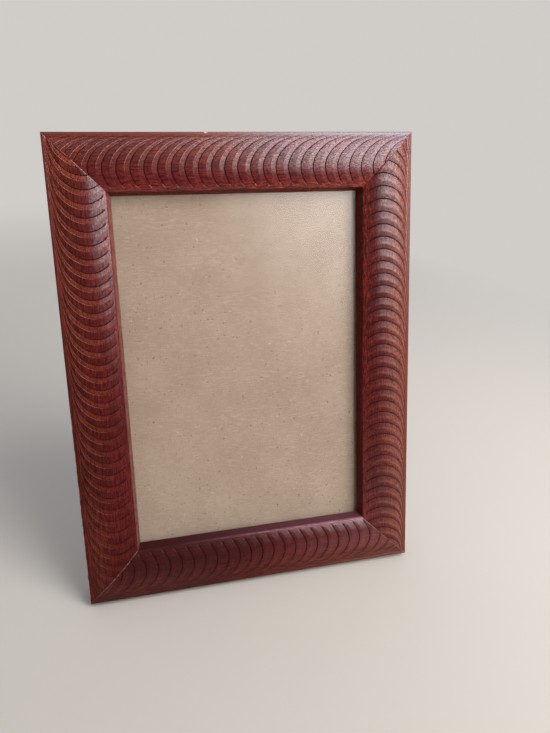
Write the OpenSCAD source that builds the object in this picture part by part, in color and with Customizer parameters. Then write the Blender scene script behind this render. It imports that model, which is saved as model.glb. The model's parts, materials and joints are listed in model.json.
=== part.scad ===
// Wooden picture frame with a domed moulding, standing on the folding strut of its back board.
// The pieces are drawn upright: x runs to the right, y out of the back, and z up the frame.
// The back plane is y = 0 and the underside z = 0. stand() then leans the whole frame back
// about its rear bottom edge, which is what it stands on together with the foot of the strut.

/* [Picture] */
// Width of the glass, the card and the board
sheet_w = 127; // [110:1:160]
// Height of the glass, the card and the board
sheet_h = 178; // [160:1:220]
// Thickness of the glass
glass_t = 2; // [1.6:0.1:3]
// Thickness of the card behind the glass
card_t = 3; // [2:0.5:5]
// Thickness of the back board
board_t = 3; // [2.5:0.5:5]
// Clearance between the sheets and the rebate, on each long side
side_gap = 0.5; // [0.2:0.1:1.5]
// Clearance between the sheets and the rebate, at the top and at the bottom
end_gap = 1; // [0.2:0.1:2]

/* [Moulding] */
// Width of the moulding, from its outer side to the sight edge
moulding_w = 26; // [24:1:36]
// Width of the rebate that holds the sheets
rebate_w = 7; // [5:1:9]
// Thickness of the lip in front of the glass
lip_t = 5.3; // [3:0.1:8]
// Slope of the sight edge, across the moulding
bevel_w = 1.5; // [0.5:0.1:3]
// How far the outer edge stands in front of the lip
edge_over = 0.7; // [0.2:0.1:3]
// Plain margin along the outer edge
margin_w = 2.3; // [1:0.1:4]
// Rise of the domed face above the line from its margin to its lip
dome_rise = 2.4; // [1:0.1:5]

/* [Corner nails] */
// Length of each arm of a V nail
nail_arm = 5; // [3:0.5:6]
// Thickness of a V nail
nail_t = 0.5; // [0.3:0.1:0.8]
// Depth that a V nail is driven
nail_depth = 7; // [4:0.5:9]
// Distance of the outer V nail from the outer side
nail_in = 4.5; // [3:0.5:6]
// Distance between the two V nails of a corner, across the moulding
nail_pitch = 7; // [6:0.5:8]

/* [Turn buttons] */
// Width of a turn button
button_w = 8; // [6:0.5:10]
// Thickness of a turn button
button_t = 1; // [0.6:0.1:1.6]
// How far a turn button reaches over the board
button_grip = 6.5; // [3:0.5:10]
// Height of the finger tab at the end of a turn button
button_tab = 2; // [1:0.5:4]
// Distance between the two turn buttons of one side
button_span = 110; // [80:1:120]
// Radius of the shank of a turn button's screw
screw_r = 1.5; // [1:0.1:1.8]
// Radius of the screw's head
screw_head_r = 2.9; // [2.5:0.1:3.5]
// Height of the screw's head
screw_head_t = 1.8; // [1.4:0.1:2.4]
// Depth of the screw in the wood
screw_depth = 9; // [6:0.5:10]
// Width of the cross recess in the screw's head
recess_w = 0.8; // [0.5:0.1:1]

/* [Strut] */
// Angle that the frame leans back, from upright
lean = 10; // [7:0.5:14]
// Distance of the strut's hinge from the top of the frame
hinge_drop = 68; // [62:1:90]
// Thickness of the strut
strut_t = 2.5; // [2:0.1:4]
// Space between the folded strut and the board
fold_gap = 0.4; // [0.3:0.1:0.8]
// Width of the strut at its hinge
strut_top_w = 44; // [42:1:50]
// Width of the strut at its foot
strut_foot_w = 62; // [50:1:80]
// Size of the cut corners at the foot
strut_snip = 6; // [3:0.5:12]

/* [Hinge] */
// Thickness of the hinge leaves
leaf_t = 0.8; // [0.6:0.1:1.2]
// Width of the hinge leaves
leaf_w = 40; // [38:1:42]
// Length of each hinge leaf, from the pin
leaf_l = 20; // [17:0.5:22]
// Width of the middle knuckle, on the strut's leaf
mid_knuckle_w = 14; // [8:1:16]
// Width of each outer knuckle, on the board's leaf
side_knuckle_w = 7; // [5:0.5:8]
// Width of each stop tongue on the strut's leaf
tongue_w = 4; // [2.5:0.5:4.5]
// Distance of the hinge rivets from the end of their leaf
rivet_in = 6; // [4.5:0.5:7]
// Distance between the two rivets of a leaf
rivet_pitch = 20; // [14:1:24]

/* [Rivets] */
// Radius of a rivet's shank
rivet_r = 1.5; // [1:0.1:1.8]
// Radius of a rivet's head
rivet_head_r = 2.6; // [2.4:0.1:3.2]
// Height of a rivet's head
rivet_head_t = 0.9; // [0.5:0.1:1.4]
// Radius of the clinched end of a rivet
clinch_r = 2.3; // [2.1:0.1:2.8]
// Thickness of the clinched end of a rivet
clinch_t = 0.6; // [0.4:0.1:0.9]

/* [Hanger] */
// Space between the end of the board's hinge leaf and the strap
hanger_gap = 5; // [1:0.5:8]
// Width of the strap
strap_w = 8; // [6:0.5:9]
// Length of the strap, from the ring's pivot
strap_l = 12; // [10:0.5:13]
// Thickness of the strap
strap_t = 0.6; // [0.5:0.1:0.8]
// Distance of the rivet from the end of the strap
strap_rivet_in = 3.5; // [3:0.1:4]
// Radius of the ring, at the middle of its wire
ring_r = 8; // [7.5:0.1:9]
// Radius of the ring's wire
wire_r = 0.8; // [0.6:0.1:0.9]

/* [Clearances] */
// Radial clearance of pins, screws and rivets in their holes
fit = 0.05; // [0.02:0.01:0.1]
// Clearance between flat faces that slide on each other
slide_gap = 0.1; // [0.05:0.05:0.2]
// Clearance at the ends of the knuckles
knuckle_gap = 0.3; // [0.2:0.1:0.6]

/* [Hidden] */
$fn = 96;
over = 1;

// Frame
back_w = moulding_w - rebate_w;
rebate_d = glass_t + card_t + board_t;
frame_w = sheet_w + 2 * side_gap + 2 * back_w;
frame_h = sheet_h + 2 * end_gap + 2 * back_w;
edge_t = rebate_d + lip_t + edge_over;

// Domed face: an arc over the line from the margin to the lip
dome_start = [margin_w, edge_t];
dome_end = [moulding_w - bevel_w, rebate_d + lip_t];
dome_line = dome_end - dome_start;
dome_l = norm(dome_line);
dome_out = [-dome_line[1], dome_line[0]] / dome_l;
dome_r = (dome_l * dome_l / 4 + dome_rise * dome_rise) / (2 * dome_rise);
dome_centre = (dome_start + dome_end) / 2 - dome_out * (dome_r - dome_rise);

// Turn buttons
button_s = back_w / 2;
button_reach = back_w - button_s + side_gap + button_grip;
button_x = frame_w / 2 - button_s;
button_z = [frame_h / 2 - button_span / 2, frame_h / 2 + button_span / 2];
head_y = button_t + 2 * slide_gap;

// Hinge: the pin's size lets both leaves lie flat when the strut is folded
barrel_r = (strut_t + fold_gap + leaf_t) / 2;
pin_hole_r = barrel_r - leaf_t;
pin_r = pin_hole_r - fit;
hinge_z = frame_h - hinge_drop;
hinge_w = mid_knuckle_w + 2 * side_knuckle_w + 2 * knuckle_gap;
leaf_clear = barrel_r + knuckle_gap;
leaf_rivet = leaf_l - rivet_in;

// Strut: it opens by twice the lean, so that its foot folds to the bottom of the frame
strut_open = 2 * lean;
strut_tilt = strut_open - lean;
pin_height = hinge_z * cos(lean) - barrel_r * sin(lean);
strut_l = (pin_height - (barrel_r - fold_gap) * sin(strut_tilt)) / cos(strut_tilt);
tongue_l = (barrel_r - leaf_t - slide_gap + pin_hole_r * cos(strut_open)) / sin(strut_open);

// Hanger
hanger_z = hinge_z + leaf_l + hanger_gap + strap_l;
wire_hole_r = wire_r + fit;
loop_r = wire_hole_r + strap_t;
strap_rivet = strap_l - strap_rivet_in;

// Place of the standing frame: its footprint is centred on the origin
front_y = dome_centre[0] * sin(lean) - dome_centre[1] * cos(lean) - dome_r;
pin_y = barrel_r * cos(lean) + hinge_z * sin(lean);
foot_y = pin_y + (fold_gap + strut_t - barrel_r) * cos(strut_tilt) + strut_l * sin(strut_tilt);
middle_y = (front_y + foot_y) / 2;

module stand() {
    translate([0, -middle_y, 0]) rotate([-lean, 0, 0]) children();
}

module about_pin(angle) {
    translate([0, barrel_r, hinge_z]) rotate([angle, 0, 0]) translate([0, -barrel_r, -hinge_z]) children();
}

// Four corners of the frame, each with its outer corner at the origin
module each_corner() {
    translate([0, 0, frame_h / 2])
        for (mx = [0, 1], mz = [0, 1])
            mirror([mx, 0, 0]) mirror([0, 0, mz]) translate([-frame_w / 2, 0, -frame_h / 2]) children();
}

// Cross-section: x from the outer side to the sight edge, y from the back to the front
module moulding_section() {
    polygon([
        [0, 0], [back_w, 0], [back_w, rebate_d], [moulding_w, rebate_d],
        dome_end, dome_start, [0, edge_t]
    ]);
    reach = 2 * dome_rise * dome_out;
    intersection() {
        translate(dome_centre) circle(dome_r);
        polygon([dome_start, dome_end, dome_end + reach, dome_start + reach]);
    }
}

// One length of moulding along x, mitred at both ends, with its outer side on z = 0
module mitred_moulding(length) {
    inner = moulding_w + over;
    deep = edge_t + dome_rise + 2 * over;
    intersection() {
        translate([-length / 2, 0, 0]) rotate(180, [1, 0, 1]) linear_extrude(length) moulding_section();
        translate([0, over, 0]) rotate([90, 0, 0]) linear_extrude(deep)
            polygon([
                [-length / 2 - over, -over], [length / 2 + over, -over],
                [length / 2 - inner, inner], [inner - length / 2, inner]
            ]);
    }
}

// One side of the frame, turned from the bottom by an angle about the frame's middle
module side(length, half, angle) {
    color("#6b2a20") difference() {
        translate([0, 0, frame_h / 2]) rotate([0, angle, 0]) translate([0, 0, -half]) mitred_moulding(length);
        v_nails(over);
        screws(over);
    }
}

module v_nails(proud = 0) {
    each_corner() for (i = [0, 1]) {
        at = nail_in + i * nail_pitch;
        translate([at, -nail_depth, at]) {
            cube([nail_arm, nail_depth + proud, nail_t]);
            cube([nail_t, nail_depth + proud, nail_arm]);
        }
    }
}

module sheet(thickness, front) {
    translate([-sheet_w / 2, -front, back_w + end_gap]) cube([sheet_w, thickness, sheet_h]);
}

// Rivet along y, its head seated on y = 0 and its clinched end let into the far face
module rivet(grip) {
    rotate([-90, 0, 0]) {
        round_head(rivet_head_r, rivet_head_t);
        translate([0, 0, -grip]) cylinder(r = rivet_r, h = grip);
        translate([0, 0, -grip]) cylinder(r = clinch_r, h = clinch_t);
    }
}

module rivet_hole(grip) {
    rotate([-90, 0, 0]) {
        translate([0, 0, -grip - over]) cylinder(r = rivet_r + fit, h = grip + 2 * over);
        translate([0, 0, -grip - over]) cylinder(r = clinch_r + fit, h = clinch_t + over);
    }
}

module round_head(radius, height) {
    dome = (radius * radius + height * height) / (2 * height);
    rotate_extrude() intersection() {
        translate([0, height - dome]) circle(dome);
        square([radius, height]);
    }
}

module at_leaf_rivets(z) {
    for (sx = [-1, 1]) translate([sx * rivet_pitch / 2, 0, z]) children();
}

module board_rivets_at() {
    at_leaf_rivets(hinge_z + leaf_rivet) translate([0, leaf_t, 0]) children();
}

module strut_rivets_at() {
    at_leaf_rivets(hinge_z - leaf_rivet) translate([0, 2 * barrel_r, 0]) children();
}

module hanger_rivet_at() {
    translate([0, strap_t, hanger_z - strap_rivet]) children();
}

module along_x(length) {
    translate([-length / 2, 0, 0]) rotate([0, 90, 0]) children();
}

// Turn button with its hole at the origin, flat on y = 0 and reaching along +x
module turn_button() {
    color("#b9b6ae") {
        difference() {
            rotate([-90, 0, 0]) linear_extrude(button_t) {
                circle(button_w / 2);
                translate([0, -button_w / 2]) square([button_reach, button_w]);
            }
            rotate([-90, 0, 0]) translate([0, 0, -over]) cylinder(r = screw_r + fit, h = button_t + 2 * over);
        }
        translate([button_reach - button_t, button_t, -button_w / 2]) cube([button_t, button_tab, button_w]);
    }
}

// A side of -1 is on the left as the frame is seen from the front, and a row of 0 is the lower one
module place_button(side, row) {
    translate([side * button_x, slide_gap, button_z[row]]) rotate([0, side > 0 ? 180 : 0, 0]) children();
}

// Shanks of the four screws, or their pilot holes when they stand proud of the back
module screws(proud = 0) {
    clear = proud > 0 ? fit : 0;
    top = proud > 0 ? proud : head_y;
    for (side = [-1, 1], row = [0, 1])
        translate([side * button_x, top, button_z[row]]) rotate([90, 0, 0]) {
            cylinder(r = screw_r + clear, h = top + screw_depth - 2 * screw_r);
            translate([0, 0, top + screw_depth - 2 * screw_r])
                cylinder(r1 = screw_r + clear, r2 = clear + fit, h = 2 * screw_r + clear);
        }
}

module screw_heads() {
    for (side = [-1, 1], row = [0, 1])
        translate([side * button_x, head_y, button_z[row]]) rotate([-90, 0, 0]) difference() {
            round_head(screw_head_r, screw_head_t);
            for (turn = [0, 90])
                rotate(turn) translate([-screw_r, -recess_w / 2, screw_head_t / 2])
                    cube([2 * screw_r, recess_w, screw_head_t]);
        }
}

module knuckle(width) {
    translate([0, barrel_r, hinge_z]) along_x(width) cylinder(r = barrel_r, h = width);
}

module pin_hole() {
    translate([0, barrel_r, hinge_z]) along_x(leaf_w) cylinder(r = pin_hole_r, h = leaf_w);
}

// Centres of the board leaf's two knuckles
module side_knuckles_at() {
    for (sx = [-1, 1]) translate([sx * (hinge_w - side_knuckle_w) / 2, 0, 0]) children();
}

module top_rail() { stand() side(frame_w, frame_h / 2, 180); }
module bottom_rail() { stand() side(frame_w, frame_h / 2, 0); }
module left_stile() { stand() side(frame_h, frame_w / 2, 90); }
module right_stile() { stand() side(frame_h, frame_w / 2, -90); }
module corner_v_nails() { color("#8d8f92") stand() v_nails(); }

module glass_pane() { color("#d5e2df", 0.4) stand() sheet(glass_t, rebate_d); }
module backing_card() { color("#b29778") stand() sheet(card_t, board_t + card_t); }

module back_board() {
    color("#54402f") stand() difference() {
        sheet(board_t, board_t);
        board_rivets_at() rivet_hole(leaf_t + board_t);
        hanger_rivet_at() rivet_hole(strap_t + board_t);
    }
}

module turn_button_upper_left() { stand() place_button(-1, 1) turn_button(); }
module turn_button_upper_right() { stand() place_button(1, 1) turn_button(); }
module turn_button_lower_left() { stand() place_button(-1, 0) turn_button(); }
module turn_button_lower_right() { stand() place_button(1, 0) turn_button(); }

module turn_button_screws() {
    color("#a7a39a") stand() {
        screws();
        screw_heads();
    }
}

module strut_leg() {
    top = hinge_z - leaf_clear;
    foot = hinge_z - strut_l;
    foot_x = strut_foot_w / 2;
    snip_x = foot_x - strut_snip;
    color("#54402f") stand() about_pin(strut_open) difference() {
        translate([0, fold_gap + strut_t, 0]) rotate([90, 0, 0]) linear_extrude(strut_t)
            polygon([
                [-strut_top_w / 2, top], [strut_top_w / 2, top], [foot_x, foot + strut_snip],
                [snip_x, foot], [-snip_x, foot], [-foot_x, foot + strut_snip]
            ]);
        strut_rivets_at() rivet_hole(leaf_t + strut_t);
    }
}

module hinge_board_leaf() {
    color("#b9b6ae") stand() difference() {
        union() {
            translate([-leaf_w / 2, 0, hinge_z + leaf_clear]) cube([leaf_w, leaf_t, leaf_l - leaf_clear]);
            side_knuckles_at() {
                translate([-side_knuckle_w / 2, 0, hinge_z]) cube([side_knuckle_w, leaf_t, leaf_l / 2]);
                knuckle(side_knuckle_w);
            }
        }
        pin_hole();
        board_rivets_at() rivet_hole(leaf_t + board_t);
    }
}

// The two tongues at its sides pass the pin and stop the strut on the board's leaf
module hinge_strut_leaf() {
    inner_y = 2 * barrel_r - leaf_t;
    color("#b9b6ae") stand() about_pin(strut_open) difference() {
        union() {
            translate([-leaf_w / 2, inner_y, hinge_z - leaf_l]) cube([leaf_w, leaf_t, leaf_l - leaf_clear]);
            translate([-mid_knuckle_w / 2, inner_y, hinge_z - leaf_l / 2])
                cube([mid_knuckle_w, leaf_t, leaf_l / 2]);
            knuckle(mid_knuckle_w);
            for (sx = [-1, 1]) translate([sx * (leaf_w - tongue_w) / 2, inner_y, hinge_z])
                translate([-tongue_w / 2, 0, -leaf_l / 2]) cube([tongue_w, leaf_t, leaf_l / 2 + tongue_l]);
        }
        pin_hole();
        strut_rivets_at() rivet_hole(leaf_t + strut_t);
    }
}

module hinge_pin() {
    color("#8d8f92") stand() translate([0, barrel_r, hinge_z])
        along_x(hinge_w) cylinder(r = pin_r, h = hinge_w);
}

module hinge_board_rivets() {
    color("#c2a05a") stand() board_rivets_at() rivet(leaf_t + board_t);
}

module hinge_strut_rivets() {
    color("#c2a05a") stand() about_pin(strut_open) strut_rivets_at() rivet(leaf_t + strut_t);
}

module hanger_strap() {
    color("#b9b6ae") stand() difference() {
        union() {
            translate([-strap_w / 2, 0, hanger_z - strap_l]) cube([strap_w, strap_t, strap_l]);
            translate([0, loop_r, hanger_z]) along_x(strap_w) cylinder(r = loop_r, h = strap_w);
        }
        translate([0, loop_r, hanger_z]) along_x(2 * strap_w) cylinder(r = wire_hole_r, h = 2 * strap_w);
        hanger_rivet_at() rivet_hole(strap_t + board_t);
    }
}

// D ring, hanging plumb from its bar
module hanger_ring() {
    color("#b9b6ae") stand() translate([0, loop_r, hanger_z]) rotate([lean, 0, 0]) {
        along_x(2 * ring_r) cylinder(r = wire_r, h = 2 * ring_r);
        for (sx = [-1, 1]) translate([sx * ring_r, 0, 0]) sphere(wire_r);
        rotate([-90, 0, 0]) rotate_extrude(angle = 180) translate([ring_r, 0]) circle(wire_r);
    }
}

module hanger_rivet() {
    color("#c2a05a") stand() hanger_rivet_at() rivet(strap_t + board_t);
}

top_rail();
bottom_rail();
left_stile();
right_stile();
corner_v_nails();
glass_pane();
backing_card();
back_board();
turn_button_upper_left();
turn_button_upper_right();
turn_button_lower_left();
turn_button_lower_right();
turn_button_screws();
strut_leg();
hinge_board_leaf();
hinge_strut_leaf();
hinge_pin();
hinge_board_rivets();
hinge_strut_rivets();
hanger_strap();
hanger_ring();
hanger_rivet();
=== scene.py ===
"""Picture frame of mahogany-stained moulding with carved waves, standing on the strut of its back board.

Sizes are in metres. Each length of moulding is first made as straight stock that runs along x, with its outer
side on y = 0 and its back on z = 0. Then it is carved, cut at the mitres and put in its place in the frame.
"""

import json
import math
from types import SimpleNamespace

import bmesh
import bpy
import numpy as np
from mathutils import Matrix, Vector


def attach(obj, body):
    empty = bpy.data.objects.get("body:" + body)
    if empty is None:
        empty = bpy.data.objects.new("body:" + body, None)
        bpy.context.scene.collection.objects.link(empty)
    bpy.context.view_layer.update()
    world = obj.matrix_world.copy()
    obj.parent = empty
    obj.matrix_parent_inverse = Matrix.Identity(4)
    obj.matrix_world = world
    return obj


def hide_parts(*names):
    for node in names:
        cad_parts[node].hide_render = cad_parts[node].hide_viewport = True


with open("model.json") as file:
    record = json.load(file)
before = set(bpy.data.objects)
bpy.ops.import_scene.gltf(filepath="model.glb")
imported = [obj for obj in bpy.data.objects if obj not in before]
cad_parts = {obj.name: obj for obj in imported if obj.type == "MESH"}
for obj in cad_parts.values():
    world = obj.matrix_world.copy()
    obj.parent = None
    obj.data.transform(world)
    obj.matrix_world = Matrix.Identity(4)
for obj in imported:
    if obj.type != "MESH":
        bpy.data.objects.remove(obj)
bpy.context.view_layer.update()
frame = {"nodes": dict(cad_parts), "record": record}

MM = 0.001

# The frame's outside and its lean
FRAME_W = 166 * MM
FRAME_H = 218 * MM
LEAN = math.radians(10)

# From the upright frame, with its back on y = 0 and its foot on z = 0, to the frame as it stands. It leans
# back about the foot of its back, which is the lowest edge of the bottom rail.
lowest = min(frame["nodes"]["bottom_rail"].data.vertices, key=lambda vert: vert.co.z)
STANDING = Matrix.Translation((0, lowest.co.y, 0)) @ Matrix.Rotation(-LEAN, 4, "X")

# The moulding's section: widths from its outer side, heights from its back
MOULDING_W = 26 * MM
BACK_W = 19 * MM
REBATE_D = 8 * MM
EDGE_T = 14 * MM
LIP_FRONT = 13.3 * MM
MARGIN_W = 2.3 * MM
DOME_END = 24.5 * MM
DOME_RISE = 2.4 * MM
BACK_EASE = 0.06 * MM

# The waves. Each one runs from its groove over its crest to the next groove.
WAVE_PITCH = 5.84 * MM
CREST_SHARE = 0.4
GROOVE_HALF = 0.25 * MM
CREST_HALF = 0.06 * MM
WAVE_SIZES = {
    "Pitch": WAVE_PITCH,
    "Crest share": CREST_SHARE,
    "Crown": 15.2 * MM,
    "Bow reach": 13 * MM,
    "Bow": 8.8 * MM,
    "Outer bow": 0.0,
    "Hook": 5.0 * MM,
    "Wave depth": 0.13 * MM,
    "Groove depth": 0.36 * MM,
    "Groove half width": GROOVE_HALF,
    "Crest half width": CREST_HALF,
    "Outer margin": 1.1 * MM,
    "Inner margin": 23.8 * MM,
    "Outer fade": 0.9 * MM,
    "Inner fade": 2.5 * MM,
    "Face end": DOME_END,
    "Face floor": 12.0 * MM,
}

# The mitres' eased edge, and where the wear on it and on the outer edge has grown to its full share
MITRE_EASE = 0.2 * MM
MITRE_SINK = 0.12 * MM
MITRE_HAIR = 0.02 * MM
BESIDE_CUT = 0.15
WEAR_ACROSS = 14 * MM
WEAR_ALONG = 45 * MM

# In the stain's own coordinates the four lengths of stock lie in a row: right, bottom, left, top. A step goes
# from one to the next, and the stain's masks change over in the gap between two of them.
STOCK_MIDDLE = 0.5
STOCK_STEP = 0.31
STOCK_GAP = 0.03

# The two sheets in the rebate, with the air round them. The card lies on the board and the glass on the card,
# and the faces of each are given from the frame's back.
SHEET_W = 127 * MM
SHEET_H = 178 * MM
BOARD_T = 3 * MM
CARD_T = 3 * MM
SHEET_AIR = 0.05 * MM
GLASS_SEAT_AIR = 0.03 * MM
CARD_FACES = (BOARD_T + SHEET_AIR, BOARD_T + CARD_T - SHEET_AIR)
GLASS_FACES = (BOARD_T + CARD_T + SHEET_AIR, REBATE_D - GLASS_SEAT_AIR)

LAMPS_Y = -0.52
FLOOR_SIZE = 80
FLOOR_DROP = 0.2 * MM


class Wire:
    """A socket of a node tree. Sums of wires and numbers add their Math nodes."""

    def __init__(self, tree, socket=None):
        self.tree = tree
        self.socket = socket

    def make(self, kind, settings=None, inputs=None, output=0):
        """Adds a node with its settings and its sockets' values or links, and gives one of its outputs."""
        node = self.tree.nodes.new(kind)
        for name, value in (settings or {}).items():
            setattr(node, name, value)
        for key, value in (inputs or {}).items():
            self.feed(node.inputs[key], value)
        return Wire(self.tree, node.outputs[output])

    def feed(self, socket, value):
        """Links a wire to a socket, or sets the socket to a plain value."""
        if isinstance(value, Wire):
            self.tree.links.new(value.socket, socket)
        else:
            socket.default_value = value

    def work_out(self, operation, *values):
        return self.make("ShaderNodeMath", {"operation": operation}, dict(enumerate(values)))

    def __add__(self, other):
        return self.work_out("ADD", self, other)

    def __radd__(self, other):
        return self.work_out("ADD", other, self)

    def __sub__(self, other):
        return self.work_out("SUBTRACT", self, other)

    def __rsub__(self, other):
        return self.work_out("SUBTRACT", other, self)

    def __mul__(self, other):
        return self.work_out("MULTIPLY", self, other)

    def __rmul__(self, other):
        return self.work_out("MULTIPLY", other, self)

    def __truediv__(self, other):
        return self.work_out("DIVIDE", self, other)

    def __rtruediv__(self, other):
        return self.work_out("DIVIDE", other, self)

    def __pow__(self, other):
        return self.work_out("POWER", self, other)

    def __rpow__(self, other):
        return self.work_out("POWER", other, self)

    def at_least(self, other):
        return self.work_out("MAXIMUM", self, other)

    def at_most(self, other):
        return self.work_out("MINIMUM", self, other)

    def fraction(self):
        return self.work_out("FRACT", self)

    def absolute(self):
        return self.work_out("ABSOLUTE", self)

    def ramp(self, low, high, to_low=0.0, to_high=1.0, kind="SMOOTHSTEP"):
        """Goes from one value to another while this wire goes from low to high."""
        sockets = {"Value": self, "From Min": low, "From Max": high, "To Min": to_low, "To Max": to_high}
        return self.make("ShaderNodeMapRange", {"interpolation_type": kind}, sockets)

    def fall(self, low, high):
        """Goes from one to zero while this wire goes from low to high."""
        return self.ramp(low, high, 1.0, 0.0)

    def band(self, start, full, still_full, end):
        """Rises from zero to one between the first two values and falls again between the last two."""
        return self.ramp(start, full) * self.fall(still_full, end)

    def mix(self, first, second):
        """Blends two colours by this wire."""
        return self.make("ShaderNodeMix", {"data_type": "RGBA"}, {0: self, 6: first, 7: second}, 2)

    def split(self):
        """The three parts of a vector."""
        node = self.make("ShaderNodeSeparateXYZ", None, {0: self}).socket.node
        return [Wire(self.tree, part) for part in node.outputs]

    def dot(self, way):
        """How far a vector goes along a way."""
        return self.make("ShaderNodeVectorMath", {"operation": "DOT_PRODUCT"}, {0: self, 1: way}, "Value")


def rgb(red, green, blue):
    """A colour given as it is seen, from 0 to 255, in the shader's linear values."""
    linear = []
    for value in (red / 255, green / 255, blue / 255):
        linear.append(value / 12.92 if value <= 0.04045 else ((value + 0.055) / 1.055) ** 2.4)
    return (*linear, 1.0)


def placed(name, data):
    """A new object in the scene."""
    thing = bpy.data.objects.new(name, data)
    bpy.context.scene.collection.objects.link(thing)
    return thing


# Camera and lights


CAMERA_PLACE = (-0.0587, -0.2913, 0.2310)
CAMERA_LENS = 31.5
YAW = math.radians(14.57)
PITCH = math.radians(-22.72)
ROLL = math.radians(0.73)

BACKDROP = rgb(208, 205, 201)
DIM_FRONT = (0.033, 0.035, 0.04, 1)
COOL_LIGHT = (0.82, 0.86, 1.0, 1)


def camera():
    """The camera, in front of the frame and to its left, looking down at it."""
    data = bpy.data.cameras.new("photo_camera")
    data.lens = CAMERA_LENS
    data.sensor_width = 36
    data.clip_start = 0.01
    eye = placed("photo_camera", data)
    eye.location = CAMERA_PLACE
    turn = Matrix.Rotation(-YAW, 3, "Z") @ Matrix.Rotation(math.radians(90) + PITCH, 3, "X")
    eye.rotation_euler = (turn @ Matrix.Rotation(ROLL, 3, "Z")).to_euler()
    bpy.context.scene.camera = eye


def lamp_panel(name, sides, ends, brightness, colour, soft_sides, soft_ends):
    """A lamp panel in front of the frame, which fades out over a soft border on each of its sides."""
    (left, right), (low, high) = sides, ends
    wide, tall = right - left, high - low
    data = bpy.data.lights.new(name, "AREA")
    data.shape = "RECTANGLE"
    data.size = wide
    data.size_y = tall
    data.energy = math.pi * wide * tall * brightness
    data.color = colour
    data.use_nodes = True
    root = Wire(data.node_tree)
    x, y, _ = root.make("ShaderNodeNewGeometry", None, None, "Parametric").split()
    glow = x.band(0.0, soft_sides[0] / wide, 1.0 - soft_sides[1] / wide, 1.0)
    glow = glow * y.band(0.0, soft_ends[0] / tall, 1.0 - soft_ends[1] / tall, 1.0)
    root.feed(data.node_tree.nodes["Emission"].inputs["Strength"], glow)
    lamp = placed(name, data)
    lamp.location = ((left + right) / 2, LAMPS_Y, (low + high) / 2)
    lamp.rotation_euler = (math.radians(90), 0, 0)
    lamp.visible_camera = False


def ray(root, kind):
    return root.make("ShaderNodeLightPath", None, None, kind)


def mirrored(root):
    """One for what is seen in metal or through glass."""
    return (ray(root, "Is Glossy Ray") + ray(root, "Is Transmission Ray")).at_most(1.0)


def studio():
    """Three soft lamps, a dim cool light from above, and a pale backdrop that is only seen and reflected."""
    lamp_panel("main_lamp", sides=(0.04, 0.9), ends=(0.08, 1.6), brightness=8.8, colour=(0.97, 0.96, 1.0),
               soft_sides=(0.2, 0.3), soft_ends=(0.26, 0.45))
    lamp_panel("side_lamp", sides=(0.75, 1.6), ends=(0.0, 0.9), brightness=1.9, colour=(0.97, 0.96, 1.0),
               soft_sides=(0.25, 0.3), soft_ends=(0.1, 0.3))
    lamp_panel("low_lamp", sides=(0.2, 0.95), ends=(0.0, 0.34), brightness=2.0, colour=(1.0, 0.96, 0.92),
               soft_sides=(0.15, 0.15), soft_ends=(0.04, 0.12))
    world = bpy.data.worlds.new("studio")
    bpy.context.scene.world = world
    world.use_nodes = True
    root = Wire(world.node_tree)
    way = root.make("ShaderNodeTexCoord", None, None, "Generated")
    lighting = world.node_tree.nodes["Background"]
    root.feed(lighting.inputs["Color"], COOL_LIGHT)
    root.feed(lighting.inputs["Strength"], way.dot((0, 0.35, 0.94)).ramp(-0.1, 0.9, 0.04, 0.9))
    seen = root.make("ShaderNodeBackground", None, {"Color": BACKDROP, "Strength": 1.0})
    share = ray(root, "Is Camera Ray") + mirrored(root) * way.dot((0, 1, 0)).ramp(-0.2, 0.4)
    light = Wire(root.tree, lighting.outputs[0])
    both = root.make("ShaderNodeMixShader", None, {0: share, 1: light, 2: seen})
    root.feed(world.node_tree.nodes["World Output"].inputs["Surface"], both)
    bpy.context.scene.view_settings.view_transform = "Standard"


# Materials


def new_material(name):
    """A material, the root wire of its tree and its shader node."""
    material = bpy.data.materials.new(name)
    material.use_nodes = True
    tree = material.node_tree
    return material, Wire(tree), tree.nodes["Principled BSDF"]


def set_shader(root, shader, **inputs):
    for name, value in inputs.items():
        root.feed(shader.inputs[name.replace("_", " ")], value)


def object_place(root):
    return root.make("ShaderNodeTexCoord", None, None, "Object")


def attribute(root, name, output="Fac"):
    return root.make("ShaderNodeAttribute", {"attribute_name": name}, None, output)


def noise(root, place, scale, detail=3.0, roughness=0.55, offset=(0, 0, 0)):
    """Noise from 0 to 1. A scale of three numbers draws it out along the way that has the smallest."""
    if isinstance(scale, tuple):
        place = root.make("ShaderNodeMapping", None, {"Vector": place, "Scale": scale, "Location": offset})
        scale = 1.0
    sockets = {"Vector": place, "Scale": scale, "Detail": detail, "Roughness": roughness}
    return root.make("ShaderNodeTexNoise", None, sockets)


def bumps(root, height, strength, distance):
    return root.make("ShaderNodeBump", None, {"Strength": strength, "Distance": distance, "Height": height})


def painted(ground, *layers):
    """A ground colour with layers over it, each given as its share and its colour."""
    for share, colour in layers:
        ground = share.mix(ground, colour)
    return ground


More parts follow.
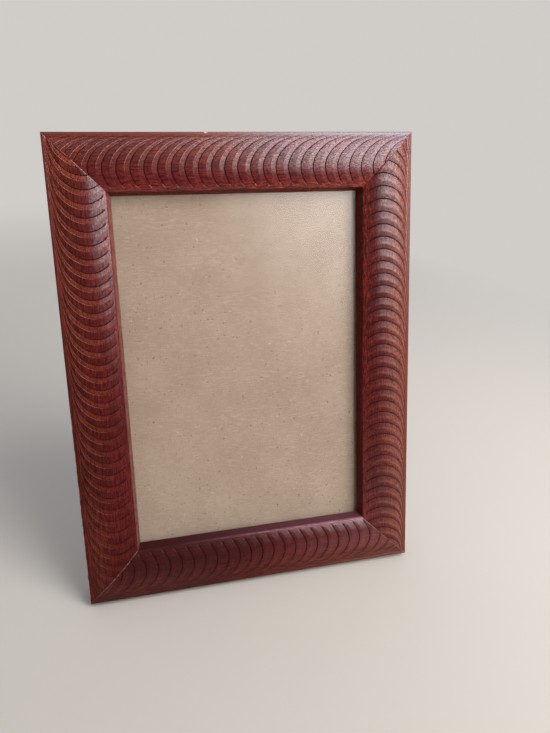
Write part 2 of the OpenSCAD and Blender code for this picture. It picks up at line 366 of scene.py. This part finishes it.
def moulding_places(root):
    """The carving's marks, and where a point lies on its rail and in the frame, mostly as shares of one."""
    at = SimpleNamespace(stock=attribute(root, "stock", "Vector"))
    for mark in ("hollow", "crest", "short", "long", "worn"):
        setattr(at, mark, attribute(root, mark))

    # The side of the frame, from the row of the four lengths of stock
    along, at.across, at.height = at.stock.split()
    gaps = [STOCK_MIDDLE + STOCK_STEP * steps for steps in (-0.5, 0.5, 1.5)]
    past = [along.ramp(gap - STOCK_GAP / 2, gap + STOCK_GAP / 2) for gap in gaps]
    past_right, past_bottom, past_left = past
    at.right = 1.0 - past_right
    at.bottom = past_right * (1.0 - past_bottom)
    at.top = past_left

    # The place in the whole frame. Towards the upper right corner the varnish lies thicker and light is
    # painted, and away from it shade is painted.
    place = object_place(root)
    x, _, z = place.split()
    at.to_corner = place.dot((6.0, 0, 4.6))
    at.fresh = at.to_corner.ramp(-0.2, 0.75)
    # The top rail's right end, where sheen is painted
    at.lit = at.top * at.to_corner.ramp(0.85, 1.4)
    # Towards the upper left, where light is painted on the crests and on the short slopes
    at.thin = place.dot((-6.0, 0, 4.6)).ramp(0.3, 1.3, 0.15, 1.0)
    at.low = z.fall(0.025, 0.05)
    at.far_end = x.ramp(-0.05, 0.04)
    # The bottom rail's two ends: painted shade at the left one, painted sheen at the right one
    at.shaded_end = at.bottom * (1.0 - at.far_end)
    at.lifted_end = at.bottom * x.ramp(-0.01, 0.07)

    # The place across the section
    at.outer_side = at.across.fall(0.02 * MM, 0.12 * MM)
    at.margin = at.across.fall(1.4 * MM, 2.0 * MM)
    at.shoulder = (1.0 - at.margin) * at.across.fall(7.0 * MM, 11.0 * MM)
    at.crown = at.across.band(7.0 * MM, 9.5 * MM, 10.5 * MM, 13.0 * MM)
    at.inner = at.across.ramp(6.0 * MM, 16.0 * MM)
    at.arris = (at.across - DOME_END).band(-0.35 * MM, -0.1 * MM, 0.1 * MM, 0.3 * MM)
    at.flank = at.across.ramp(DOME_END, DOME_END + 0.5 * MM)
    at.side = at.height.ramp(12.5 * MM, 13.5 * MM, 0.9, 0.0)
    return at


def wood_grain(root, at):
    """The wood's noises, all drawn out along the stock."""
    stock = at.stock
    grain = SimpleNamespace(
        streaks=noise(root, stock, (150, 1700, 1700), 4.0, 0.6),
        ticks=noise(root, stock, (520, 3000, 3000), 2.0, 0.6, (1, 2, 5)),
        pores=noise(root, stock, (700, 3600, 3600), 2.0, 0.6),
        patches=noise(root, stock, (28, 60, 60), 3.0, 0.5),
        flecks=noise(root, stock, (330, 1500, 1500), 3.0, 0.65, (3, 5, 7)),
        chips=noise(root, stock, (70, 160, 160), 3.0, 0.6, (4, 1, 2)),
        fibres=noise(root, stock, (60, 900, 900), 5.0, 0.6),
        pits=noise(root, stock, (900, 2300, 2300), 2.0, 0.7, (6, 3, 1)).ramp(0.44, 0.58),
    )
    dots = noise(root, stock, (820, 2500, 2500), 2.0, 0.7, (7, 4, 2)).ramp(0.48, 0.58)
    # Fewer dots on the margin, and on the top rail's lit short slopes under the painted sheen
    grain.dots = dots * (1.0 - at.margin * 0.6) * (1.0 - at.short * at.lit * 0.6)
    return grain


def stain(at, grain):
    """The stain's colour on the face and the sides, with painted light, shade, sheen and highlights."""
    across, margin, ticks, flecks = at.across, at.margin, grain.ticks, grain.flecks
    dark = at.inner.mix(rgb(74, 26, 20), rgb(72, 17, 17))
    light = at.inner.mix(rgb(122, 50, 38), rgb(114, 35, 31))
    red = grain.streaks.ramp(0.4, 0.6).mix(dark, light)

    # Painted light: paler towards the outer side on the right stile and towards the upper right corner, and
    # orange on the waves' short slopes that face the light, with lighter flecks and darker patches
    paler = across.fall(8.0 * MM, 15.0 * MM) * (1.0 - margin)
    paler = paler * (at.right + at.fresh * 0.25) * (1.0 - at.low * 0.3)
    slopes = at.short * across.ramp(14.0 * MM, 20.0 * MM, 1.0, 0.2) * at.thin * (1.0 - at.top * 0.5)
    red = painted(
        red,
        (paler * 0.26, rgb(164, 92, 66)),
        (slopes * ticks.ramp(0.4, 0.6, 0.25, 0.95), rgb(156, 74, 46)),
        (flecks.ramp(0.54, 0.64) * 0.5, rgb(128, 46, 30)),
        (grain.patches.ramp(0.35, 0.7) * 0.4, rgb(60, 16, 18)),
    )

    # A warm strip of flecks along the inner edge and a brown margin, the wood's own colours made stronger
    # towards the upper right corner as painted light
    strip = across.ramp(18.5 * MM, 22.5 * MM) * flecks.ramp(0.46, 0.62) * at.fresh.ramp(0, 1, 0.1, 0.8)
    red = painted(
        red,
        (strip, at.to_corner.ramp(0.7, 1.3).mix(rgb(134, 36, 25), rgb(156, 58, 34))),
        (margin * at.fresh * 0.8, rgb(112, 52, 40)),
    )

    # Painted shade towards the lower left corner and on the bottom rail's inner side, where less light falls;
    # the right stile's inner half is also darker
    depth = 0.36 + at.low * at.inner * (0.12 + at.bottom * 0.23) + margin * 0.2
    red = painted(
        red,
        ((1.0 - at.fresh) * depth + at.thin * 0.06, rgb(32, 5, 4)),
        (at.right * (1.0 - at.low) * across.ramp(11.0 * MM, 17.0 * MM) * 0.34, rgb(46, 10, 10)),
    )

    # Painted shade on the short slopes, most on the right stile where they face down and away from the light,
    # and painted light on its long slopes; then dots in the grain
    banded = at.right * across.ramp(14.0 * MM, 19.0 * MM, 1.0, 0.3)
    red = painted(
        red,
        (at.short * (banded * (0.44 - at.fresh * 0.14) + at.low * 0.1 + at.top * 0.16), rgb(44, 8, 6)),
        (at.long * banded * 0.14, rgb(176, 112, 98)),
        (grain.dots * (0.5 - at.low * 0.2 + at.right * 0.15), rgb(34, 6, 6)),
    )

    # Painted sheen on the top rail's upper right end, then painted shade over the bottom rail, most at its
    # shaded left end, and painted sheen at its right end
    foot = at.bottom * (0.08 + margin * 0.08) + at.shaded_end * across.ramp(9.0 * MM, 19.0 * MM, 0.26, 0.12)
    lifted = at.lifted_end * across.ramp(6.0 * MM, 11.0 * MM) * across.ramp(15.0 * MM, 19.0 * MM, 1.0, 0.4)
    red = painted(
        red,
        (at.short * at.lit * across.ramp(7.0 * MM, 14.0 * MM, 0.35, 0.0), rgb(150, 112, 110)),
        (margin * at.lit * (1.0 - at.side) * 0.85, rgb(98, 88, 94)),
        (at.lit * at.shoulder * 0.28, rgb(92, 80, 98)),
        (lifted * 0.14, rgb(170, 96, 100)),
        (foot, rgb(50, 32, 36)),
    )

    # Stain that gathers in the grooves, painted shade on the bevelled sight edge with painted sheen at the
    # bottom rail's right end, and a painted highlight along that end's arris
    gathered = at.hollow ** (1.3 - at.bottom * 0.6 - at.right * 0.5) * (0.92 - at.shaded_end * 0.72)
    bevel = at.bottom.mix(rgb(72, 18, 6), at.far_end.mix(rgb(54, 20, 20), rgb(76, 46, 52)))
    red = painted(
        red,
        (gathered, rgb(42, 9, 7)),
        (at.flank * (0.5 + at.bottom * 0.3), bevel),
        (at.arris * at.bottom * at.far_end * ticks.ramp(0.4, 0.5, 0.15, 0.55), rgb(168, 118, 134)),
    )

    # Painted shade along the outer edge, a few chips, painted highlights on the crests, and the wear on the
    # mitres and the outer edge with painted light on the left stile's bevelled sight edge
    front_edge = across.fall(0.4 * MM, 0.8 * MM) * at.height.ramp(11.0 * MM, 12.5 * MM)
    chipped = front_edge * grain.chips.ramp(0.66, 0.69)
    line = ticks.ramp(0.38, 0.56, 0.1, 0.85) + across.ramp(5.0 * MM, 12.0 * MM, 0.5, 0.0)
    return painted(
        red,
        (across.ramp(0.15 * MM, 0.5 * MM, 0.6, 0.0), rgb(58, 20, 16)),
        (chipped, rgb(196, 150, 118)),
        (at.crest * line * at.thin, rgb(204, 138, 124)),
        (at.worn * flecks.ramp(0.44, 0.58, 1.0, 0.1), rgb(206, 156, 138)),
    )


def varnish(at, grain, back):
    """The share of satin varnish. It lies thick towards the upper right corner and leaves the grain open."""
    open_grain = (grain.pits * (1.0 - at.margin * 0.7)).at_least(grain.dots)
    laid = at.fresh.ramp(0, 1, 0.1, 1.0) * (1.0 - open_grain * 0.66) * (1.0 - at.hollow * 0.85)
    rubbed_right = at.right * (0.1 + at.margin * 0.62 + at.short * 0.15 + at.crown * 0.1)
    rubbed_top = at.top * (at.margin * 0.14 + at.shoulder * 0.18)
    dull = at.side.at_least(at.flank * at.low.ramp(0, 1, 0.95, 0.0)).at_least(rubbed_right + rubbed_top)
    return laid * (1.0 - back.at_least(dull.at_least(at.outer_side)))


def stained_wood():
    """Mahogany stain under satin varnish, darker in the grooves, with painted light, shade, sheen and crest
    highlights, on a bare back.
    """
    material, root, shader = new_material("stained_wood")
    at = moulding_places(root)
    grain = wood_grain(root, at)
    bare = grain.fibres.ramp(0.3, 0.7).mix(rgb(150, 112, 78), rgb(190, 154, 114))
    bare = painted(bare, (grain.pores.ramp(0.5, 0.62) * 0.5, rgb(104, 72, 48)))
    stain_edge = grain.patches * (0.6 * MM) + 0.2 * MM
    back = at.height.fall(stain_edge, stain_edge + 0.25 * MM)
    relief = grain.streaks * 0.4 + grain.pores * 0.3 - grain.dots * 0.3
    roughness = grain.pores.ramp(0.4, 0.7, 0.4, 0.5) + at.hollow * 0.2 + back * 0.2 + at.outer_side * 0.25
    set_shader(root, shader, Base_Color=back.mix(stain(at, grain), bare), Roughness=roughness,
               Normal=bumps(root, relief, 0.35, 0.12 * MM), Coat_Weight=varnish(at, grain, back),
               Coat_Roughness=0.22, Coat_IOR=1.6, Specular_IOR_Level=0.05)
    return material


def clear_glass():
    """Thin glass: see-through, with a smeared gloss that grows towards a flat angle."""
    material, root, shader = new_material("clear_glass")
    root.tree.nodes.remove(shader)
    smears = noise(root, object_place(root), (16, 16, 9), 4.0, 0.6).ramp(0.35, 0.75, 0.16, 0.26)
    clear, shine = (0.985, 0.993, 0.988, 1), (0.95, 0.96, 0.94, 1)
    through = root.make("ShaderNodeBsdfTransparent", None, {"Color": clear})
    gloss = root.make("ShaderNodeBsdfAnisotropic", None, {"Color": shine, "Roughness": smears})
    facing = root.make("ShaderNodeLayerWeight", None, {"Blend": 0.5}, "Facing")
    share = facing ** 5.0 * 0.52 + 0.015
    pane = root.make("ShaderNodeMixShader", None, {0: share, 1: through, 2: gloss})
    root.feed(root.tree.nodes["Material Output"].inputs["Surface"], pane)
    return material


def kraft_card():
    """Brown card: clouded, with fibres both ways, dark specks and a few light flakes."""
    material, root, shader = new_material("kraft_card")
    place = object_place(root)
    clouds = noise(root, place, 45.0, 4.0, 0.6)
    fibres_across = noise(root, place, (300, 300, 1700), 3.0, 0.6)
    fibres_up = noise(root, place, (1700, 1700, 260), 3.0, 0.6)
    specks = noise(root, place, 760.0, 1.0, 0.5)
    flakes = noise(root, place, (620, 620, 480), 1.0, 0.5, (2, 1, 4))
    colour = painted(
        clouds.ramp(0.3, 0.7).mix(rgb(148, 126, 108), rgb(158, 136, 118)),
        (fibres_up.ramp(0.4, 0.75) * 0.35, rgb(142, 118, 97)),
        (fibres_across.ramp(0.45, 0.75) * 0.3, rgb(185, 167, 147)),
        (specks.ramp(0.7, 0.76) * 0.75, rgb(104, 78, 58)),
        (flakes.ramp(0.74, 0.8) * 0.35, rgb(214, 192, 166)),
    )
    relief = fibres_up * 0.5 + fibres_across * 0.5
    set_shader(root, shader, Base_Color=colour, Roughness=clouds.ramp(0.2, 0.8, 0.78, 0.92),
               Normal=bumps(root, relief, 0.12, 0.05 * MM), Specular_IOR_Level=0.2)
    return material


def hardboard():
    """Brown hardboard: pressed clumps of fibre with dark felt, light hairs and faint clouds."""
    material, root, shader = new_material("hardboard")
    place = object_place(root)
    felt = noise(root, place, 900.0, 5.0, 0.7)
    clumps = noise(root, place, 180.0, 4.0, 0.6)
    clouds = noise(root, place, 26.0, 3.0, 0.5)
    hairs = noise(root, place, (420, 420, 1900), 3.0, 0.7)
    colour = painted(
        clumps.ramp(0.3, 0.7).mix(rgb(84, 58, 42), rgb(112, 80, 58)),
        (felt.ramp(0.45, 0.7) * 0.5, rgb(58, 38, 28)),
        (hairs.ramp(0.6, 0.75) * 0.4, rgb(140, 108, 80)),
        (clouds.ramp(0.4, 0.7) * 0.35, rgb(76, 54, 42)),
    )
    set_shader(root, shader, Base_Color=colour, Roughness=clumps.ramp(0.3, 0.7, 0.42, 0.6),
               Normal=bumps(root, felt * 0.7 + clumps * 0.3, 0.35, 0.15 * MM))
    return material


def metal(name, light, dark, tarnish, smooth, rough, line_scale):
    """Rolled or turned metal: fine lines along one way, a film of tarnish and small spots."""
    material, root, shader = new_material(name)
    place = object_place(root)
    lines = noise(root, place, line_scale, 4.0, 0.6)
    film = noise(root, place, 210.0, 4.0, 0.65)
    spots = noise(root, place, 1300.0, 2.0, 0.5)
    colour = painted(
        lines.ramp(0.3, 0.7).mix(dark, light),
        (film.ramp(0.5, 0.78) * 0.7, tarnish),
        (spots.ramp(0.66, 0.74) * 0.6, tarnish),
    )
    wear = film.ramp(0.3, 0.75, smooth, rough) + spots.ramp(0.6, 0.75, 0.0, 0.15)
    set_shader(root, shader, Base_Color=colour, Roughness=wear, Metallic=film.ramp(0.5, 0.8, 1.0, 0.75),
               Normal=bumps(root, lines, 0.2, 0.04 * MM))
    return material


def floor_paint():
    """A pale floor that the camera sees run into the backdrop's colour away from the frame."""
    material, root, shader = new_material("floor")
    set_shader(root, shader, Base_Color=rgb(190, 183, 170), Roughness=0.8, Specular_IOR_Level=0.2)
    place = object_place(root)
    right, depth, _ = place.split()
    away = root.make("ShaderNodeVectorMath", {"operation": "LENGTH"}, {0: place}, "Value").ramp(0.25, 1.4)
    front = mirrored(root) * depth.fall(-0.3, 0.1)
    haze = root.make("ShaderNodeEmission", None, {"Color": front.mix(BACKDROP, DIM_FRONT), "Strength": 1.0})
    share = ray(root, "Is Camera Ray") * (away + depth.fall(-0.32, -0.13) + right.ramp(0.22, 0.6))
    share = share + mirrored(root) * (away + depth.fall(-0.5, -0.2))
    paint = Wire(root.tree, shader.outputs[0])
    both = root.make("ShaderNodeMixShader", None, {0: share.at_most(1.0), 1: paint, 2: haze})
    root.feed(root.tree.nodes["Material Output"].inputs["Surface"], both)
    return material


# Moulding


def dome_height(across):
    """The height of the dome, an arc that rises over the line from the margin to the lip."""
    wide, drop = DOME_END - MARGIN_W, EDGE_T - LIP_FRONT
    line = math.hypot(wide, drop)
    radius = (line ** 2 / 4 + DOME_RISE ** 2) / (2 * DOME_RISE)
    sink = (radius - DOME_RISE) / line
    middle = (MARGIN_W + DOME_END) / 2 - drop * sink
    low = (EDGE_T + LIP_FRONT) / 2 - wide * sink
    return low + math.sqrt(radius ** 2 - (across - middle) ** 2)


def section():
    """The closed section, each point as its place across, its height, and the outward way in the same two."""
    outer_rows_end, inner_rows_start = 4.8 * MM, 21.8 * MM
    dome_rows = np.concatenate([
        np.arange(MARGIN_W, outer_rows_end, 0.25 * MM),
        np.arange(outer_rows_end, inner_rows_start, 0.56 * MM),
        np.linspace(inner_rows_start, DOME_END - 0.35 * MM, 9),
    ])
    # The outer side, from the back's eased edge to the front's
    points = [(0.4 * MM, BACK_EASE), (0.1 * MM, BACK_EASE + 0.1 * MM), (0, BACK_EASE + 0.4 * MM)]
    points += [(0, 7 * MM), (0, EDGE_T - 0.5 * MM), (0.04 * MM, EDGE_T - 0.25 * MM)]
    points += [(0.14 * MM, EDGE_T - 0.1 * MM), (0.3 * MM, EDGE_T - 0.02 * MM), (0.6 * MM, EDGE_T)]
    # The flat margin and the dome
    points += [(s * MM, EDGE_T) for s in (0.95, 1.2, 1.4, 1.6, 1.8, 2.05)]
    points += [(s, dome_height(s)) for s in dome_rows]
    # The arris, the bevelled sight edge, the rebate and the back
    points += [(DOME_END - 0.1 * MM, LIP_FRONT - 0.02 * MM), (DOME_END + 0.06 * MM, LIP_FRONT - 0.42 * MM)]
    points += [((DOME_END + MOULDING_W) / 2, (LIP_FRONT + REBATE_D) / 2)]
    points += [(MOULDING_W - 0.03 * MM, REBATE_D + 0.1 * MM)]
    points += [(MOULDING_W - 0.2 * MM, REBATE_D), (BACK_W, REBATE_D), (BACK_W, 4 * MM), (BACK_W, BACK_EASE)]
    points += [(BACK_W / 2, BACK_EASE)]
    rows = []
    for i, (across, high) in enumerate(points):
        before, after = points[i - 1], points[(i + 1) % len(points)]
        out = Vector((before[1] - after[1], after[0] - before[0])).normalized()
        rows.append((across, high, out.x, out.y))
    return rows


def wave_columns(length, phase):
    """Places along the stock: the same steps in each wave, closest at the groove and the crest."""
    crest = CREST_SHARE * WAVE_PITCH
    rest = WAVE_PITCH - crest - GROOVE_HALF
    steps = [0, GROOVE_HALF / 2, GROOVE_HALF, 0.27 * crest + GROOVE_HALF, 0.62 * crest]
    steps += [crest + k * CREST_HALF for k in (-2, -1, 0, 1, 2)]
    steps += [crest + share * rest for share in (0.1, 0.25, 0.5, 0.76)]
    steps += [WAVE_PITCH - GROOVE_HALF, WAVE_PITCH - GROOVE_HALF / 2]
    reach = length / 2 + MOULDING_W
    first = math.floor((-reach - phase) / WAVE_PITCH)
    last = math.ceil((reach - phase) / WAVE_PITCH)
    return [phase + k * WAVE_PITCH + step for k in range(first, last) for step in steps]


def stock_mesh(name, length, phase):
    """A straight closed bar of the moulding's section, with what the carving reads stored on its points."""
    rows = section()
    columns = wave_columns(length, phase)
    points, along, across, out = [], [], [], []
    for x in columns:
        for s, high, out_s, out_h in rows:
            points.append((x, s, high))
            along.append(x - phase)
            across.append(s)
            out.extend((0.0, out_s, out_h))
    count = len(rows)
    faces = []
    for i in range(len(columns) - 1):
        for j in range(count):
            k = (j + 1) % count
            faces.append((i * count + j, i * count + k, (i + 1) * count + k, (i + 1) * count + j))
    faces.append(tuple(range(count - 1, -1, -1)))
    faces.append(tuple((len(columns) - 1) * count + j for j in range(count)))
    mesh = bpy.data.meshes.new(name)
    mesh.from_pydata(points, [], faces)
    mesh.attributes.new("along", "FLOAT", "POINT").data.foreach_set("value", along)
    mesh.attributes.new("across", "FLOAT", "POINT").data.foreach_set("value", across)
    mesh.attributes.new("out", "FLOAT_VECTOR", "POINT").data.foreach_set("vector", out)
    return mesh


def carving(material):
    """Geometry nodes that bow a bar's rings back from the crown and cut the waves into its domed face."""
    tree = bpy.data.node_groups.new("carve_waves", "GeometryNodeTree")
    tree.interface.new_socket("Geometry", in_out="INPUT", socket_type="NodeSocketGeometry")
    tree.interface.new_socket("Geometry", in_out="OUTPUT", socket_type="NodeSocketGeometry")
    for name in WAVE_SIZES:
        tree.interface.new_socket(name, in_out="INPUT", socket_type="NodeSocketFloat")
    root = Wire(tree)
    given = tree.nodes.new("NodeGroupInput")
    size = {name: Wire(tree, given.outputs[name]) for name in WAVE_SIZES}

    def stored(name, kind="FLOAT"):
        return root.make("GeometryNodeInputNamedAttribute", {"data_type": kind}, {"Name": name})

    # How far each point of a ring trails behind the crown
    along, across = stored("along"), stored("across")
    face = across.at_least(size["Outer margin"]).at_most(size["Face end"])
    far = (face - size["Crown"]) / size["Bow reach"]
    far_squared = far * far
    outer_far = far.at_most(0.0)
    trail = size["Bow"] * far_squared + size["Hook"] * far_squared ** 5.0
    trail = trail + size["Outer bow"] * outer_far * outer_far

    # The wave: a short slope from the groove up to the crest and a long one down to the next groove
    turn = (along / size["Pitch"]).fraction()
    short_slope = 1.0 - turn / size["Crest share"]
    long_slope = (turn - size["Crest share"]) / (1.0 - size["Crest share"])
    wave = short_slope.at_least(long_slope)
    to_groove = size["Pitch"] * turn.at_most(1.0 - turn)
    groove = (1.0 - to_groove / size["Groove half width"]).at_least(0.0)
    to_crest = size["Pitch"] * (turn - size["Crest share"]).absolute()
    line = (1.0 - to_crest / (2.0 * size["Crest half width"])).at_least(0.0)

    # The carving fades at both margins, ends above the rebate and is shallow near the outer side
    outer = across.ramp(size["Outer margin"], size["Outer margin"] + size["Outer fade"])
    inner = across.fall(size["Inner margin"] - size["Inner fade"], size["Inner margin"])
    position = root.make("GeometryNodeInputPosition")
    high = position.split()[2]
    fade = outer * inner * high.ramp(size["Face floor"], size["Face floor"] + 0.5 * MM)
    by_hand = noise(root, position, 38.0, 2.0).ramp(0.3, 0.7, 0.82, 1.12, "LINEAR")
    shallow = fade * across.ramp(2.5 * MM, 12 * MM, 0.3, 1.0)
    depth = shallow * by_hand * (size["Wave depth"] * wave + size["Groove depth"] * groove)

    out = stored("out", "FLOAT_VECTOR")
    inward = root.make("ShaderNodeVectorMath", {"operation": "SCALE"}, {0: out, "Scale": 0.0 - depth})
    back = root.make("ShaderNodeCombineXYZ", None, {0: 0.0 - trail})
    shift = root.make("ShaderNodeVectorMath", {"operation": "ADD"}, {0: inward, 1: back})
    bar = Wire(tree, given.outputs["Geometry"])
    carved = root.make("GeometryNodeSetPosition", None, {"Geometry": bar, "Offset": shift})

    # What the stain reads: the hollows, the crests' line for painted highlights, and the two slopes for
    # painted light and shade
    gathered = fade * across.ramp(2.5 * MM, 12 * MM, 0.55, 1.0)
    crest_share = across.ramp(9.0 * MM, 17.0 * MM, 1.0, 0.15) * across.ramp(2.0 * MM, 3.6 * MM, 0.35, 1.0)
    marks = {
        "hollow": gathered * (wave * 0.3 + groove * 0.7),
        "crest": fade * line * crest_share,
        "short": fade * short_slope.ramp(0.0, 0.12),
        "long": fade * long_slope.ramp(0.02, 0.1) * long_slope.ramp(0.24, 0.45, 1.0, 0.4),
    }
    for name, value in marks.items():
        carved = root.make("GeometryNodeStoreNamedAttribute", {"data_type": "FLOAT"},
                           {"Geometry": carved, "Name": name, "Value": value})
    solid = root.make("GeometryNodeRealizeInstances", None, {0: carved})
    solid = root.make("GeometryNodeSetMaterial", None, {"Geometry": solid, "Material": material})
    root.feed(tree.nodes.new("NodeGroupOutput").inputs[0], solid)
    return tree


def evaluated(name, obj):
    """What an object's modifiers make, as a plain mesh."""
    bpy.context.view_layer.update()
    mesh = bpy.data.meshes.new_from_object(obj.evaluated_get(bpy.context.evaluated_depsgraph_get()))
    mesh.name = name
    return mesh


def cut_mitres(mesh, length, joint_wear, lit_flank, edge_wear):
    """Cuts both ends at 45 degrees, eases the cut's edge on the face, closes the ends and marks the wear and
    the painted light on the sight edge.

    The joints' wear is given for each end as its share at the outer side and at the inner side.
    """
    work = bmesh.new()
    work.from_mesh(mesh)
    for end in (-1, 1):
        way = Vector((end, 1, 0)).normalized()
        for inset in (MITRE_EASE, 0):
            corner = Vector((end * length / 2, 0, 0)) - way * inset
            everything = work.verts[:] + work.edges[:] + work.faces[:]
            bmesh.ops.bisect_plane(work, geom=everything, plane_co=corner, plane_no=way, dist=1e-7,
                                   clear_outer=inset == 0)
        rim = [edge for edge in work.edges if edge.is_boundary]
        bmesh.ops.edgeloop_fill(work, edges=rim)
    bmesh.ops.recalc_face_normals(work, faces=work.faces)
    ends = [face for face in work.faces if len(face.verts) > 4]
    bmesh.ops.triangulate(work, faces=ends)
    worn = work.verts.layers.float.new("worn")
    for vert in work.verts:
        x, s, high = vert.co
        # On the bevelled sight edge the mark is painted light; by the outer edge and at the mitres it is wear
        if s > DOME_END + 0.03 * MM and high > REBATE_D:
            vert[worn] = lit_flank
        elif s < 0.2 * MM and high > EDGE_T - 0.3 * MM and x > 0:
            vert[worn] = edge_wear * min(1, x / WEAR_ALONG)
        from_cut = (length / 2 - s - abs(x)) / math.sqrt(2)
        on_face = high > REBATE_D + 0.3 * MM and s < DOME_END + 0.8 * MM
        if on_face and from_cut < MITRE_EASE + MITRE_HAIR:
            outer_wear, inner_wear = joint_wear[0] if x < 0 else joint_wear[1]
            wear = outer_wear + (inner_wear - outer_wear) * min(1, s / WEAR_ACROSS)
            if from_cut < MITRE_HAIR:
                vert.co.z -= MITRE_SINK
                vert[worn] = wear
            else:
                vert[worn] = wear * BESIDE_CUT
    work.to_mesh(mesh)
    work.free()


def rail(waves, name, node, length, half, angle, phase, joint_wear, sizes=None, lit_flank=0.0,
         edge_wear=0.0):
    """One side of the frame: carved stock, mitred, then turned from the bottom by an angle about the middle.

    Half is the way from the frame's middle to this side. The phase shifts the waves along the stock.
    """
    bar = placed(name, stock_mesh(name, length, phase))
    modifier = bar.modifiers.new("carving", "NODES")
    modifier.node_group = waves
    wave_sizes = {**WAVE_SIZES, **(sizes or {})}
    for socket in waves.interface.items_tree:
        if socket.in_out == "INPUT" and socket.name in wave_sizes:
            modifier[socket.identifier] = wave_sizes[socket.name]
    mesh = evaluated(name, bar)
    bar.modifiers.clear()
    bar.data = mesh
    cut_mitres(mesh, length, joint_wear, lit_flank, edge_wear)
    stock = np.empty(len(mesh.vertices) * 3, np.float32)
    mesh.vertices.foreach_get("co", stock)
    stock[::3] += STOCK_MIDDLE + STOCK_STEP * angle / 90
    mesh.attributes.new("stock", "FLOAT_VECTOR", "POINT").data.foreach_set("vector", stock)
    # The stock's y, across, becomes up from the frame's side, and its z, the height, becomes forwards
    to_side = Matrix(((1, 0, 0, 0), (0, 0, -1, 0), (0, 1, 0, -half), (0, 0, 0, 1)))
    turned = Matrix.Translation((0, 0, FRAME_H / 2)) @ Matrix.Rotation(math.radians(angle), 4, "Y")
    mesh.transform(STANDING @ turned @ to_side)
    mesh.shade_smooth()
    mesh.set_sharp_from_angle(angle=math.radians(50))
    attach(bar, "frame")
    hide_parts(node)


# Boards and sheets


def softened(name, node, body, material, width):
    """A CAD piece with its sharp edges eased."""
    mesh = frame["nodes"][node].data.copy()
    work = bmesh.new()
    work.from_mesh(mesh)
    bmesh.ops.remove_doubles(work, verts=work.verts, dist=1e-6)
    bmesh.ops.dissolve_limit(work, angle_limit=math.radians(1), verts=work.verts, edges=work.edges)
    work.to_mesh(mesh)
    work.free()
    mesh.materials.clear()
    mesh.materials.append(material)
    piece = placed(name, mesh)
    bevel = piece.modifiers.new("eased_edges", "BEVEL")
    bevel.width = width
    bevel.segments = 2
    bevel.limit_method = "ANGLE"
    bevel.angle_limit = math.radians(35)
    finished = evaluated(name, piece)
    piece.modifiers.clear()
    piece.data = finished
    finished.shade_smooth()
    finished.set_sharp_from_angle(angle=math.radians(40))
    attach(piece, body)
    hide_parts(node)


def sheet(name, node, material, faces, ease):
    """A sheet in the rebate, between two heights from the frame's back, with air round it and eased edges."""
    low, high = faces
    work = bmesh.new()
    bmesh.ops.create_cube(work, size=1)
    middle = Matrix.Translation((0, -(low + high) / 2, FRAME_H / 2))
    size = Matrix.Diagonal((SHEET_W - 2 * SHEET_AIR, high - low, SHEET_H - 2 * SHEET_AIR, 1))
    work.transform(STANDING @ middle @ size)
    bmesh.ops.bevel(work, geom=work.edges[:] + work.verts[:], offset=ease, segments=2, profile=0.5,
                    affect="EDGES")
    mesh = bpy.data.meshes.new(name)
    work.to_mesh(mesh)
    work.free()
    mesh.materials.append(material)
    piece = placed(name, mesh)
    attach(piece, "frame")
    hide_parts(node)


def floor():
    bpy.ops.mesh.primitive_plane_add(size=FLOOR_SIZE, location=(0, 0, -FLOOR_DROP))
    ground = bpy.context.object
    ground.name = "floor"
    ground.data.materials.append(floor_paint())


camera()
studio()
floor()

waves = carving(stained_wood())
rail(waves, "carved_bottom_rail", "bottom_rail", FRAME_W, FRAME_H / 2, 0, 3.2 * MM,
     joint_wear=((0.1, 0.4), (0.35, 0.1)))
rail(waves, "carved_right_stile", "right_stile", FRAME_H, FRAME_W / 2, -90, 3.0 * MM,
     joint_wear=((0.3, 0.1), (0.45, 0.05)), sizes={"Outer bow": -1.2 * MM, "Outer margin": 0.9 * MM})
rail(waves, "carved_top_rail", "top_rail", FRAME_W, FRAME_H / 2, 180, 1.42 * MM,
     joint_wear=((0.8, 0.05), (0.05, 0.3)), sizes={"Outer bow": 2.2 * MM, "Hook": 3.5 * MM})
rail(waves, "carved_left_stile", "left_stile", FRAME_H, FRAME_W / 2, 90, 2.1 * MM,
     joint_wear=((0.05, 0.25), (0.1, 0.75)), sizes={"Outer margin": 0.9 * MM}, lit_flank=0.2, edge_wear=2.2)

board = hardboard()
sheet("glass_sheet", "glass_pane", clear_glass(), GLASS_FACES, 0.15 * MM)
sheet("card_sheet", "backing_card", kraft_card(), CARD_FACES, 0.3 * MM)
softened("eased_board", "back_board", "frame", board, 0.3 * MM)
softened("eased_strut", "strut_leg", "strut", board, 0.35 * MM)

# The CAD pieces that are kept as they are get their slot's finish
FINISHES = {
    "hardboard": board,
    "plated_steel": metal("plated_steel", light=rgb(206, 203, 196), dark=rgb(166, 162, 154),
                          tarnish=rgb(132, 122, 106), smooth=0.24, rough=0.42, line_scale=(300, 300, 2600)),
    "nail_steel": metal("nail_steel", light=rgb(158, 158, 160), dark=rgb(112, 112, 116),
                        tarnish=rgb(96, 82, 70), smooth=0.34, rough=0.5, line_scale=(2200, 300, 300)),
    "brass": metal("brass", light=rgb(200, 172, 116), dark=rgb(170, 140, 92),
                   tarnish=rgb(116, 92, 60), smooth=0.3, rough=0.42, line_scale=(900, 900, 900)),
}
for part in frame["record"]["subparts"]:
    finish = FINISHES.get(part["material_slot"])
    if finish:
        mesh = frame["nodes"][part["node"]].data
        mesh.materials.clear()
        mesh.materials.append(finish)
